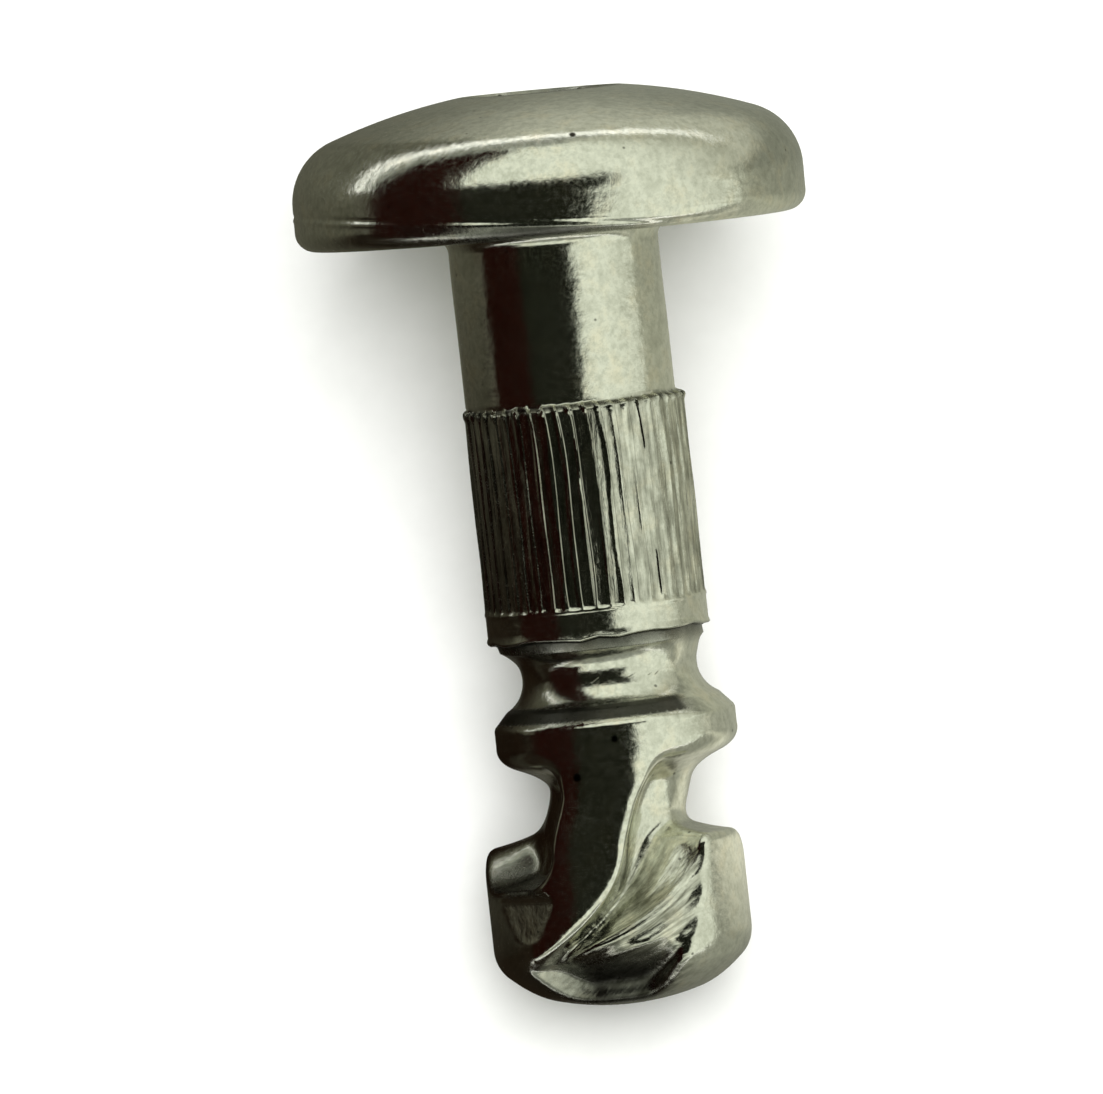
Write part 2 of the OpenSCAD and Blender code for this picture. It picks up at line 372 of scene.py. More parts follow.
def axis_shift(z):
    """How far the stud's middle stands to the right of the head's axis at a height."""
    knurl = KNURL_SHIFT * smooth_step(*KNURL_SHIFT_SPAN, z)
    neck = (NECK_SHIFT - KNURL_SHIFT) * smooth_step(*NECK_SHIFT_SPAN, z)
    return knurl + neck + (LOBE_SHIFT - NECK_SHIFT) * smooth_step(*LOBE_SHIFT_SPAN, z)


def on_shifted(bearing_deg, radius, z):
    """Points at bearings, radii and heights round the middle of their own stretch."""
    points = on_stud(bearing_deg, radius, z)
    points[:, 0] += axis_shift(points[:, 2])
    return points


class Skin:
    """Collects rings and patches of points, their painted shade and streaks, and the faces between them."""

    def __init__(self):
        self.points = []
        self.painted_shade = []
        self.streak = []
        self.flow = []
        self.faces = []
        self.count = 0

    def add(self, points, painted_shade=0.0, streak=0.0, flow=None):
        first = self.count
        self.points.append(points)
        self.painted_shade.append(np.broadcast_to(painted_shade, (len(points),)).astype(float))
        self.streak.append(np.broadcast_to(streak, (len(points),)).astype(float))
        self.flow.append(points if flow is None else flow)
        self.count += len(points)
        return np.arange(first, self.count)

    def band(self, upper, lower):
        """Quads between two rings with as many points."""
        right_upper = np.roll(upper, -1)
        right_lower = np.roll(lower, -1)
        self.faces += np.stack([upper, lower, right_lower, right_upper], -1).tolist()

    def zip_rings(self, upper, lower, upper_bearing, lower_bearing):
        """Triangles between two rings whose points lie at different bearings, both in rising order."""
        i = j = 0
        while i < len(upper) or j < len(lower):
            a = upper[i % len(upper)]
            b = lower[j % len(lower)]
            next_a = upper_bearing[(i + 1) % len(upper)] + 360 * ((i + 1) // len(upper))
            next_b = lower_bearing[(j + 1) % len(lower)] + 360 * ((j + 1) // len(lower))
            if j >= len(lower) or (i < len(upper) and next_a <= next_b):
                self.faces.append([int(a), int(b), int(upper[(i + 1) % len(upper)])])
                i += 1
            else:
                self.faces.append([int(a), int(b), int(lower[(j + 1) % len(lower)])])
                j += 1


# Turned part: head, shank, knurl, band and the upper half of the neck

head_bearing = np.arange(HEAD_COLUMNS) * 360 / HEAD_COLUMNS
knurl_bearing = np.concatenate([(ridge + np.array(RIDGE_SHARES)) * 360 / RIDGES for ridge in range(RIDGES)])
rng = np.random.default_rng(KNURL_SEED)


def arc(centre_r, centre_z, radius, start_deg, end_deg, steps):
    """Radii and heights along an arc, with angles from the head's axis towards the rim."""
    angles = np.radians(np.linspace(start_deg, end_deg, steps))
    return list(zip(centre_r + radius * np.sin(angles), centre_z + radius * np.cos(angles)))


def socket_rings(skin):
    """The hexagon socket from its drill point to the edge of its lead-in."""
    from_flat = (head_bearing + 30) % 60 - 30
    hexagon = SOCKET_AF / 2 / np.cos(np.radians(from_flat))
    wall_top = MOUTH_Z + hexagon - MOUTH_R
    rows = []
    for share in np.linspace(SOCKET_FLOOR_START, 1, FLOOR_STEPS):
        rows.append((SOCKET_AF / 2 * share, SOCKET_FLOOR - SOCKET_POINT * (1 - share)))
    for inset, rise in SOCKET_FOOT:
        rows.append((hexagon - inset, SOCKET_FLOOR + rise))
    for share in SOCKET_WALL_SHARES:
        rows.append((hexagon, SOCKET_FLOOR + (wall_top - SOCKET_FLOOR) * share))
    for share in SOCKET_LEAD_SHARES:
        rows.append((hexagon + (MOUTH_R - hexagon) * share, wall_top + (MOUTH_Z - wall_top) * share))
    # Painted shade on the socket's walls, darker at its drill point
    centre = int(skin.add(np.array([[0, 0, SOCKET_FLOOR - SOCKET_POINT]]), SOCKET_POINT_SHADE)[0])
    last = None
    for radius, z in rows:
        ring = skin.add(on_stud(head_bearing, radius, z), SOCKET_SHADE)
        if last is None:
            skin.faces += [[centre, int(a), int(b)] for a, b in zip(ring, np.roll(ring, -1))]
        else:
            skin.band(last, ring)
        last = ring
    return last


def head_rows():
    """Radii and heights from the socket's mouth over the crown, the rim and the seat to the shank."""
    mouth = math.degrees(math.asin((SOCKET_R + SOCKET_LEAD_SHARE * SOCKET_LEAD) / CROWN_R))
    crown_half = math.degrees(CROWN_HALF)
    rows = arc(0, CROWN_Z, CROWN_R, mouth, crown_half, CROWN_STEPS)
    rows += arc(SHOULDER_X, SHOULDER_Z, SHOULDER_R, crown_half, 90, SHOULDER_STEPS)[1:]
    rows += [(HEAD_R, z) for z in rows_between(SHOULDER_Z, RIM_R, SIDE_ROWS)]
    rows += arc(HEAD_R - RIM_R, RIM_R, RIM_R, 90, 180, RIM_STEPS)[1:]
    rows += [(radius, 0) for radius in rows_between(HEAD_R - RIM_R, SHANK_R + SEAT_FILLET_R, SEAT_ROWS)]
    for angle in np.linspace(0, math.pi / 2, FILLET_STEPS):
        out = SEAT_FILLET_R * (1 - math.sin(angle))
        rows.append((SHANK_R + out, -SEAT_FILLET_R * (1 - math.cos(angle))))
    rows += [(SHANK_R, z) for z in rows_between(-SEAT_FILLET_R, KNURL_TOP, SHANK_ROWS)[1:]]
    return rows


def above_flash(z):
    """Height above the slanting flash line of the head's die."""
    return z - FLASH_Z + FLASH_TILT * np.sin(np.radians(head_bearing))


def rim_shade(z):
    """Painted shade below the flash line at the front of the rim."""
    from_front = (head_bearing - RIM_BEARING + 180) % 360 - 180
    return RIM_SHADE * smooth_step(*RIM_FADE, above_flash(z)) * bell(from_front, RIM_REACH)


def flash(z):
    """How far the flash line stands out, with a fine groove above it."""
    up = above_flash(z) / FLASH_W
    line = np.exp(-up ** 2)
    groove = np.exp(-(up - FLASH_GROOVE) ** 2)
    return FLASH_H * (line - groove) * smooth_step(*FLASH_FADE, z)


def knurl_rings(skin, last):
    """Low ridges, steep on the right, that lean at the top, with ragged ends and ledges below."""
    share = np.tile(np.array(RIDGE_SHARES), RIDGES)
    ridge = np.repeat(np.arange(RIDGES), len(RIDGE_SHARES))
    top = KNURL_TOP + TOP_SPREAD * rng.standard_normal(RIDGES)[ridge]
    height = np.clip(1 + RIDGE_SPREAD * rng.standard_normal(RIDGES), *RIDGE_LIMITS)[ridge]
    gentle = np.clip(GENTLE_SHARE + GENTLE_SPREAD * rng.standard_normal(RIDGES), *GENTLE_LIMITS)[ridge]
    wander = rng.standard_normal((RIDGES, SWAY_TERMS))
    steep_side = 1 - smooth_step(*STEEP_SPAN, share)
    crest = np.where(share < RIDGE_MIDDLE, steep_side, smooth_step(gentle, GENTLE_END, share))
    corner = smooth_step(*CORNER_SPAN, np.minimum(share, 1 - share))
    # Painted shade along the foot of each ridge's steep flank
    step = STEP_SHADE * bell(share - STEP_SHARE, STEP_W)
    fine_top = rows_between(KNURL_TOP, KNURL_TOP, KNURL_TOP_ROWS)
    middle = rows_between(KNURL_TOP, KNURL_END, KNURL_MIDDLE_ROWS)
    fine_end = rows_between(KNURL_END, KNURL_END, KNURL_END_ROWS)
    ring = skin.add(on_shifted(knurl_bearing, SHANK_R, KNURL_TOP + KNURL_LEAD))
    skin.zip_rings(last, ring, head_bearing, knurl_bearing)
    last = ring
    for z in np.concatenate([fine_top, middle, fine_end]):
        down = (KNURL_TOP - z) / (KNURL_TOP - KNURL_END)
        terms = [wander[ridge, k] * np.sin((k + 1) * SWAY_RATE * down + k) for k in range(SWAY_TERMS)]
        sway = sum(terms) * SWAY_DEG
        lean = KNURL_LEAN_DEG * math.exp(-max(KNURL_TOP - z, 0) / KNURL_LEAN_LEN)
        fade = step_from(KNURL_END, SWAY_END, z) * smooth_step(KNURL_TOP + KNURL_LEAD, KNURL_TOP, z)
        bearing = knurl_bearing + (lean + sway) * fade
        rise = smooth_step(*TOP_STEP, z - top)
        uneven = height * (1 + UNEVEN * np.sin(UNEVEN_RATE * down + UNEVEN_PHASE * wander[ridge, 0]))
        chip = CHIP_H * crest * bell(z - top + CHIP_DROP, CHIP_W)
        nick = (1 - crest) * bell(z - KNURL_TOP + NICK_DROP, NICK_W)
        ridged = GROOVE_R + (RIDGE_R - GROOVE_R) * crest * uneven + chip - NICK_DEPTH * nick
        ledge = smooth_step(KNURL_END + END_STEP[0] + END_CORNER * corner, KNURL_END + END_STEP[1], z)
        lip = BAND_R + END_LIP_H * bell(z - KNURL_END + END_LIP_DROP, END_LIP_W)
        body = SHANK_R + (ridged - SHANK_R) * rise
        radius = body + (lip - body) * ledge
        on_ridges = rise * (1 - ledge)
        # Painted shade in the grooves, along the steep flanks and in the nicks
        painted_shade = np.clip((GROOVE_SHADE * (1 - crest) + step) * on_ridges + NICK_SHADE * nick, 0, 1)
        along = np.full(len(bearing), FLOW_ALONG * z)
        flow = np.stack([np.radians(bearing) * RIDGE_R, radius, along], -1)
        ring = skin.add(on_shifted(bearing, radius, z), painted_shade, KNURL_STREAK * on_ridges, flow)
        skin.band(last, ring)
        last = ring
    return last


def neck_rings(skin, last):
    """The plain band with its ragged lower edge and painted shade, and the neck down to its narrowest
    place.
    """
    bearings = np.linspace(0, 360, RAGGED_POINTS + 1)
    heights = rng.standard_normal(RAGGED_POINTS)
    ragged = RAGGED_H * np.interp(knurl_bearing, bearings, np.append(heights, heights[0]))
    rows = [(BAND_R, z, 0.0) for z in rows_between(KNURL_END, BAND_END, BAND_ROWS)]
    rows += [(BAND_R + out, BAND_END + up, painted_shade) for out, up, painted_shade in BAND_EDGE]
    start = math.acos((NECK_X - BAND_R + NECK_START) / NECK_R)
    for angle in np.linspace(start, 0, NECK_STEPS):
        height = NECK_MID + NECK_R * math.sin(angle)
        radius = NECK_X - NECK_R * math.cos(angle)
        rows.append((radius, height, NECK_SHADE * smooth_step(*NECK_SHADE_SPAN, angle / start)))
    for radius, z, painted_shade in rows:
        near_edge = math.exp(-((z - BAND_END) / RAGGED_REACH) ** 2)
        ring = skin.add(on_shifted(knurl_bearing, radius, z + ragged * near_edge), painted_shade)
        skin.band(last, ring)
        last = ring
    return last


# Cam end as a distance field


def entry_walls(z):
    """Bearings of the two walls of an entry slot at a height."""
    turned = np.clip((TURN_Z - z) / (LOBE_LEN - TURN_R), 0, 1) ** ENTRY_CURL
    return ENTRY_LEFT - ENTRY_LEFT_TURN * turned, ENTRY_RIGHT - ENTRY_RIGHT_TURN * turned


def slot_outline():
    """Outline of one slot, unrolled at the radius of the lobes: distances round the stud and heights."""
    share = np.linspace(0, 1, OUTLINE_STEPS)
    bend = np.radians(90 * np.linspace(0, 1, BEND_STEPS))
    low = TIP - OUTLINE_REACH

    def chord(radius, angle):
        """Bearing that a rounding of this radius spans on the lobes."""
        return np.degrees(np.arcsin(radius * angle / CAM_R))

    turn = ENTRY_LEFT + chord(TURN_R, 1.0)
    end = SLOT_END - chord(SEAT_R, 1.0)
    lip = ENTRY_RIGHT + chord(LIP_R, 1.0)
    z = low + (TURN_Z - low) * share
    upper = [(entry_walls(z)[0], z)]
    upper += [(turn - chord(TURN_R, np.cos(bend)), TURN_Z + TURN_R * np.sin(bend))]
    upper += [(turn + (end - turn) * share, SLOT_TOP + 0 * share)]
    upper += [(end + chord(SEAT_R, np.sin(bend)), SLOT_TOP - SEAT_R * (1 - np.cos(bend)))]
    z = low + (SLOT_FLOOR - LIP_R - low) * share
    lower = [(entry_walls(z)[1], z)]
    lip_foot = lower[0][0][-1]
    lower += [(lip - (lip - lip_foot) * np.cos(bend), SLOT_FLOOR - LIP_R * (1 - np.sin(bend)))]
    lower += [(lip + (CREST_END - lip) * share, SLOT_FLOOR + 0 * share)]
    ease = (1 - np.cos(math.pi * share)) / 2
    lower += [(CREST_END + (FALL_END - CREST_END) * share, SLOT_FLOOR + (SEAT_FLOOR - SLOT_FLOOR) * ease)]
    lower += [(FALL_END + (end - FALL_END) * share, SEAT_FLOOR + 0 * share)]
    lower += [(end + chord(SEAT_R, np.sin(bend)), SEAT_FLOOR + SEAT_R * (1 - np.cos(bend)))]
    up = np.concatenate([np.stack(part, -1) for part in upper])
    down = np.concatenate([np.stack(part, -1) for part in lower])
    outline = np.concatenate([up, down[::-1]])
    keep = np.append(True, np.linalg.norm(np.diff(outline, axis=0), axis=1) > SAME_POINT)
    outline = outline[keep]
    return np.stack([np.radians(outline[:, 0]) * CAM_R, outline[:, 1]], -1)


def to_edge(points, a, b):
    """An edge, the way to points from its start, their shares along it and their distances to it."""
    edge = b - a
    offset = points - a
    along = np.clip(offset @ edge / (edge @ edge), 0, 1)
    return edge, offset, along, np.linalg.norm(offset - along[:, None] * edge, axis=1)


def outline_distance(outline, points):
    """Distance of points to a closed outline, negative inside."""
    best = np.full(len(points), np.inf)
    inside = np.zeros(len(points), bool)
    for a, b in zip(outline, np.roll(outline, -1, axis=0)):
        edge, _, _, gap = to_edge(points, a, b)
        best = np.minimum(best, gap)
        if a[1] != b[1]:
            crosses = (a[1] > points[:, 1]) != (b[1] > points[:, 1])
            inside ^= crosses & (points[:, 0] < a[0] + edge[0] * (points[:, 1] - a[1]) / edge[1])
    return np.where(inside, -best, best)


# The slots repeat every half turn, so their distances are kept on a grid over half a turn
GRID_BEARINGS = 480
GRID_LOW = TIP - 0.6
GRID_HIGH = NECK_MID + 0.4
GRID_HEIGHTS = 480


def slot_grid():
    """Distances to the nearest slot outline over half a turn."""
    outline = slot_outline()
    bearing = np.arange(GRID_BEARINGS) * 180 / GRID_BEARINGS
    height = np.linspace(GRID_LOW, GRID_HIGH, GRID_HEIGHTS)
    across, up = np.meshgrid(np.radians(bearing) * CAM_R, height, indexing="ij")
    half_turn = math.pi * CAM_R
    near = np.full(across.size, np.inf)
    for turn in (-half_turn, 0, half_turn):
        places = np.stack([across.ravel() + turn, up.ravel()], -1)
        near = np.minimum(near, outline_distance(outline, places))
    return near.reshape(across.shape)


slot_distances = slot_grid()


def slot_distance(bearing_deg, z):
    """Distance to the nearest slot outline in the unrolled cam, negative inside a slot."""
    column = (bearing_deg % 180) / 180 * GRID_BEARINGS
    row = np.clip((z - GRID_LOW) / (GRID_HIGH - GRID_LOW), 0, 1) * (GRID_HEIGHTS - 1)
    i = np.floor(column).astype(int)
    j = np.minimum(np.floor(row).astype(int), GRID_HEIGHTS - 2)
    u = column - i
    v = row - j
    i = i % GRID_BEARINGS
    k = (i + 1) % GRID_BEARINGS
    table = slot_distances
    low = table[i, j] * (1 - u) + table[k, j] * u
    high = table[i, j + 1] * (1 - u) + table[k, j + 1] * u
    return low * (1 - v) + high * v


def side_profile():
    """Heights and radii of the cam end's side, from the tail up."""
    heights = [TIP - OUTLINE_REACH, SLOT_FLOOR, FLARE, COLLAR_TOP, COLLAR_FOOT]
    radii = [CAM_R, CAM_R, COLLAR_R, COLLAR_R, COLLAR_FOOT_R]
    start = math.asin((NECK_MID - COLLAR_FOOT) / NECK_R)
    for angle in np.linspace(start, SIDE_NECK_ANGLE, SIDE_NECK_STEPS)[1:]:
        heights.append(NECK_MID - NECK_R * math.sin(angle))
        radii.append(NECK_X - NECK_R * math.cos(angle))
    return np.array(heights), np.array(radii)


side_heights, side_radii = side_profile()


def line_distance(points, bearing, z):
    """Distance in the unrolled slot floor to a line of bearings and heights, and the share along it.

    The distance is positive on the left of the line.
    """
    here = np.stack([np.radians(bearing) * FLOOR_R, z], -1)
    line = np.array([(math.radians(b) * FLOOR_R, h) for b, h in points])
    best = np.full(len(here), np.inf)
    share = np.zeros(len(here))
    sign = np.zeros(len(here))
    for i in range(len(line) - 1):
        edge, offset, along, gap = to_edge(here, line[i], line[i + 1])
        side = np.sign(edge[0] * offset[:, 1] - edge[1] * offset[:, 0])
        nearer = gap < best
        best = np.where(nearer, gap, best)
        share = np.where(nearer, (i + along) / (len(line) - 1), share)
        sign = np.where(nearer, side, sign)
    return best * sign, share


def floor_marks(bearing, z):
    """How far the forging marks stand out of the floor of the entry slot."""
    here = (z < SLOT_FLOOR + MARKS_TOP) & (np.abs(bearing) < MARKS_BEARING)
    rise = np.zeros(len(z))
    near_bearing = bearing[here]
    near_z = z[here]
    gap, share = line_distance(SCOOP_LINE, near_bearing, near_z)
    lip = SCOOP_LIP * bell(gap, SCOOP_LIP_W) * smooth_step(*SCOOP_LIP_FADE, share)
    deep = smooth_step(SCOOP_LINE[1][1], TIP + SCOOP_FOOT, near_z)
    scoop = SCOOP_DEPTH * smooth_step(0.0, SCOOP_W, gap) * deep
    tear_gap, tear_share = line_distance(TEAR_LINE, near_bearing, near_z)
    tear_width = TEAR_W + TEAR_SWELL * np.sin(math.pi * tear_share)
    tear = TEAR_H * bell(tear_gap, tear_width) * smooth_step(*TEAR_FADE, tear_share)
    rise[here] = lip - scoop + tear
    return rise


def ramp_run(across, z):
    """Length up the ramp of an entry slot, from its foot beside the crest."""
    return (across - RAMP_START) * RAMP_W + RAMP_FALL * (SLOT_FLOOR + RAMP_LEAD - z)


def ramp_radius(across, z):
    """Radius of the ramp in an entry slot, with ridges along it."""
    run = ramp_run(across, z)
    share = smooth_step(0, RAMP_RUN, run)
    wave = RAMP_WAVE * np.sin(RAMP_WAVES * run + RAMP_SLANT * z) * smooth_step(*RAMP_WAVE_FADE, run)
    height = step_from(TIP, RAMP_TIP_FADE, z) * step_from(SLOT_FLOOR, RAMP_CREST_FADE, z)
    height = height * smooth_step(*RAMP_RIGHT_FADE, across) * smooth_step(*RAMP_LEFT_FADE, across)
    return CORE_R - RAMP_SINK + ((RAMP_TOP_R - CORE_R + RAMP_SINK) * share + wave) * height


def on_cam(points):
    """Radius, bearing, bearing in its half turn, height and share across the entry slot of points."""
    z = points[:, 2]
    x = points[:, 0] - axis_shift(z)
    radius = np.hypot(x, points[:, 1])
    bearing = np.degrees(np.arctan2(x, -points[:, 1]))
    half_bearing = (bearing + 90) % 180 - 90
    left, right = entry_walls(z)
    across = (half_bearing - left) / (right - left)
    return radius, bearing, half_bearing, z, across


def facet_field(points):
    """Distance to the flat on the left lobe, which bows out of the metal above and below."""
    angle = math.radians(FACET_BEARING)
    lean = math.radians(FACET_LEAN_DEG)
    x = points[:, 0] - axis_shift(points[:, 2])
    out = x * math.sin(angle) - points[:, 1] * math.cos(angle)
    up = points[:, 2] - FACET_Z
    bow = FACET_BOW * np.maximum(np.abs(up) - FACET_HALF, 0) ** 2
    return out * math.cos(lean) + up * math.sin(lean) - FACET_R - bow


def cam_field(points):
    """Signed distance to the cam end, negative inside the metal."""
    radius, bearing, half_bearing, z, across = on_cam(points)
    side = radius - np.interp(z, side_heights, side_radii)
    chamfer = (radius - CAM_R + CHAMFER - z) / math.sqrt(2)
    dome = np.hypot(radius, z - DOME_Z) - TIP_R
    outer = smooth_max(smooth_max(side, chamfer, TIP_ROUND), dome, TIP_ROUND)
    outer = smooth_max(outer, facet_field(points), FACET_ROUND)
    slope = (CONE_R - CORE_R) / CONE_H
    core = radius - CORE_R - slope * smooth_max(z - SLOT_TOP + CONE_H, 0 * z, CONE_ROUND)
    core = core - floor_marks(half_bearing, z)
    core = smooth_min(core, (radius - ramp_radius(across, z)) * RAMP_STEEPNESS, RAMP_ROUND)
    depth = np.clip(CAM_R - radius, 0, CAM_R)
    wall = -(slot_distance(bearing, z) * np.clip(radius / CAM_R, *WALL_SCALE) + depth * WALL_DRAFT)
    inner = smooth_min(core, wall, FOOT_ROUND)
    edge_round = EDGE_ROUND + (COLLAR_ROUND - EDGE_ROUND) * smooth_step(*COLLAR_ROUND_SPAN, z)
    return smooth_max(outer, inner, edge_round)


def slot_flow(points):
    """Where the streaks run in the entry slots, and how strong they are there."""
    radius, _, _, z, across = on_cam(points)
    inside = smooth_step(*STREAK_LEFT, across) * smooth_step(*STREAK_RIGHT, across)
    inside = inside * smooth_step(*STREAK_OUTSIDE, radius) * smooth_step(CORE_R / 2, CORE_R, radius)
    flow = np.stack([ramp_run(across, z), FLOW_OUT * radius, FLOW_ALONG * (across * RAMP_W + z)], -1)
    return flow, inside * step_from(SLOT_FLOOR, STREAK_TOP, z)


def cam_shade(points):
    """Painted shade on the ledge above the collar, in the seats and where the entry slots reach the tip."""
    radius, bearing, half_bearing, z, across = on_cam(points)
    # Painted shade on the ledge above the collar
    ledge = step_from(LEDGE_TOP, LEDGE_TOP_FADE, z) * step_from(LEDGE_END, LEDGE_END_FADE, z)
    ledge = LEDGE_SHADE * ledge * step_from(LEDGE_BEARING, LEDGE_SIDE_FADE, bearing)
    # Painted shade in the seat pockets
    seat = step_from(SEAT_FLOOR, SEAT_SHADE_FOOT, z) * step_from(SEAT_FLOOR, SEAT_SHADE_TOP, z)
    seat = seat * smooth_step(*SEAT_SHADE_LEFT, half_bearing) * smooth_step(*SEAT_SHADE_RIGHT, half_bearing)
    seat = seat * step_from(CORE_R, SEAT_SHADE_INSIDE, radius)
    seat = SEAT_SHADE * seat * step_from(CAM_R, SEAT_SHADE_OUTSIDE, radius)
    # Painted shade in the feet of the entry slots
    foot = smooth_step(*FOOT_LEFT, across) * smooth_step(*FOOT_RIGHT, across)
    foot = foot * step_from(CHAMFER, FOOT_TOP, z) * smooth_step(CORE_R / 2, CORE_R, radius)
    foot = FOOT_SHADE * foot * step_from(CAM_R, FOOT_OUTSIDE, radius)
    return np.maximum(np.maximum(ledge, seat), foot)


def gradient(field, points, step=0.01):
    parts = []
    for axis in range(3):
        offset = np.zeros(3)
        offset[axis] = step
        parts.append((field(points + offset) - field(points - offset)) / (2 * step))
    return np.stack(parts, -1)


def project(field, points, passes=3):
    """Moves points along the field's slope onto its zero surface."""
    for _ in range(passes):
        slope = gradient(field, points)
        steepness = np.maximum((slope ** 2).sum(1), MIN_SLOPE)
        points = points - field(points)[:, None] * slope / steepness[:, None]
    return points


def surface_net(field, low, high, step):
    """Points and quads of the zero surface of a field inside a box."""
    axes = [np.arange(low[i], high[i] + step / 2, step) for i in range(3)]
    grid = np.stack(np.meshgrid(*axes, indexing="ij"), -1)
    values = field(grid.reshape(-1, 3)).reshape(grid.shape[:3])
    cells = tuple(n - 1 for n in values.shape)
    hits = np.zeros(cells)
    sums = np.zeros(cells + (3,))
    edges = []
    for axis in range(3):
        others = [i for i in range(3) if i != axis]
        first = np.moveaxis(values, axis, 0)[:-1]
        second = np.moveaxis(values, axis, 0)[1:]
        cross = np.moveaxis((first < 0) != (second < 0), 0, axis)
        share = np.moveaxis(first / np.where(first == second, 1, first - second), 0, axis)
        edges.append((cross, np.moveaxis(first < 0, 0, axis), others))
        for side_a in (0, 1):
            for side_b in (0, 1):
                part = [slice(None)] * 3
                part[others[0]] = slice(side_a, side_a + cells[others[0]])
                part[others[1]] = slice(side_b, side_b + cells[others[1]])
                here = cross[tuple(part)]
                hits += here
                sums[..., axis] += np.where(here, share[tuple(part)], 0)
                sums[..., others[0]] += here * side_a
                sums[..., others[1]] += here * side_b
    active = hits > 0
    index = np.full(cells, -1)
    index[active] = np.arange(active.sum())
    corner = np.stack(np.nonzero(active), -1)
    points = np.array(low) + step * (corner + sums[active] / hits[active][:, None])
    quads = []
    for axis, (cross, inside_first, others) in enumerate(edges):
        part = [slice(None)] * 3
        part[others[0]] = slice(1, -1)
        part[others[1]] = slice(1, -1)
        found = cross[tuple(part)]
        flip = inside_first[tuple(part)][found] != (axis == 1)
        around = []
        for back_a, back_b in ((1, 1), (0, 1), (0, 0), (1, 0)):
            cell = [slice(None)] * 3
            cell[others[0]] = slice(1 - back_a, cells[others[0]] - back_a)
            cell[others[1]] = slice(1 - back_b, cells[others[1]] - back_b)
            around.append(index[tuple(cell)][found])
        quad = np.stack(around, -1)
        quad[~flip] = quad[~flip][:, ::-1]
        quads.append(quad)
    return points, np.concatenate(quads)


def open_edge(quads):
    """The points of a net's open edge, and all its edges as pairs of points."""
    pairs = np.concatenate([quads[:, [i, (i + 1) % 4]] for i in range(4)])
    unique, counts = np.unique(np.sort(pairs, axis=1), axis=0, return_counts=True)
    return np.unique(unique[counts == 1]), unique


def cam_end(skin, last):
    """The cam end below the neck, joined to the last ring of the turned part."""
    reach = CAM_R + abs(LOBE_SHIFT) + NET_MARGIN
    low = np.array([-reach, -reach, TIP - NET_MARGIN])
    high = np.array([reach, reach, NECK_MID - VOXEL])
    points, quads = surface_net(cam_field, low, high, VOXEL)
    rim, links = open_edge(quads)
    free = np.ones(len(points), bool)
    free[rim] = False
    points = project(cam_field, points)
    for _ in range(SMOOTH_PASSES):
        total = np.zeros_like(points)
        number = np.zeros(len(points))
        for a, b in ((0, 1), (1, 0)):
            np.add.at(total, links[:, a], points[links[:, b]])
            np.add.at(number, links[:, a], 1)
        points[free] = 0.5 * points[free] + 0.5 * (total / number[:, None])[free]
        points = project(cam_field, points, passes=2)
    flow, streak = slot_flow(points)
    ids = skin.add(points, cam_shade(points), streak, flow)
    skin.faces += ids[quads].tolist()
    bearing = np.degrees(np.arctan2(points[rim, 0], -points[rim, 1])) % 360
    order = np.argsort(bearing)
    skin.zip_rings(last, ids[rim[order]], knurl_bearing, bearing[order])


def lean_head(points):
    """Leans the head a little to the right, as the forging left it."""
    angle = np.radians(HEAD_LEAN_DEG) * smooth_step(LEAN_START_Z, 0, points[:, 2])
    x = points[:, 0] * np.cos(angle) + points[:, 2] * np.sin(angle)
    z = points[:, 2] * np.cos(angle) - points[:, 0] * np.sin(angle)
    return np.stack([x, points[:, 1], z], -1)


def stud_points():
    skin = Skin()
    last = socket_rings(skin)
    flat_faces = len(skin.faces)
    for radius, z in head_rows():
        near_rim = radius > HEAD_R - RIM_R and z < SHOULDER_Z
        ring = skin.add(on_stud(head_bearing, radius + flash(z) * near_rim, z), rim_shade(z) * near_rim)
        skin.band(last, ring)
        last = ring
    last = knurl_rings(skin, last)
    last = neck_rings(skin, last)
    cam_end(skin, last)
    points = np.concatenate(skin.points)
    floats = {"painted_shade": np.concatenate(skin.painted_shade), "streak": np.concatenate(skin.streak)}
    vectors = {"place": points, "flow": np.concatenate(skin.flow)}
    return lean_head(points), floats, vectors, skin.faces, flat_faces


# How the stud lies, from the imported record's seat mount
seat = next(mount for mount in frame["record"]["mounts"] if mount["name"] == "head_seat")
to_head = -Vector(seat["axis"]).normalized()
to_right = Vector((1, 0, 0))
to_back = to_head.cross(to_right)
seat_centre = Vector((0, seat["pos_m"][1], seat["pos_m"][2]))
stud_turn = Matrix((to_right, to_back, to_head)).transposed()


def in_world(point):
    """Place in metres of a point given in the stud's own millimetres."""
    return seat_centre + stud_turn @ (Vector(point) * MM)


def mesh_item(name, points, faces):
    mesh = bpy.data.meshes.new(name)
    mesh.from_pydata(points, [], faces)
    item = bpy.data.objects.new(name, mesh)
    bpy.context.scene.collection.objects.link(item)
    return item


def build_stud():
    points, floats, vectors, faces, flat_faces = stud_points()
    turn = np.array(stud_turn)
    world = points * MM @ turn.T + np.array(seat_centre)
    piece = mesh_item("stud_forged", world.tolist(), faces)
    mesh = piece.data
    mesh.validate()
    for name, value in floats.items():
        attribute = mesh.attributes.new(name, "FLOAT", "POINT")
        attribute.data.foreach_set("value", value.astype(np.float32))
    for name, value in vectors.items():
        attribute = mesh.attributes.new(name, "FLOAT_VECTOR", "POINT")
        attribute.data.foreach_set("vector", value.astype(np.float32).ravel())
    mesh.shade_smooth()
    mesh.polygons.foreach_set("use_smooth", np.arange(len(mesh.polygons)) >= flat_faces)
    return piece


# Materials

NOISE_MIDDLE = (0.3, 0.7)
FLOOR_TINTS = ((0.3, (0.90, 0.90, 0.89)), (0.7, (0.93, 0.93, 0.92)))
FLOOR_ROUGHNESS = 0.9
FLOOR_GLOSS = 0.1


def node_tree(name):
    material = bpy.data.materials.new(name)
    material.use_nodes = True
    tree = material.node_tree
    return material, tree, tree.nodes["Principled BSDF"]


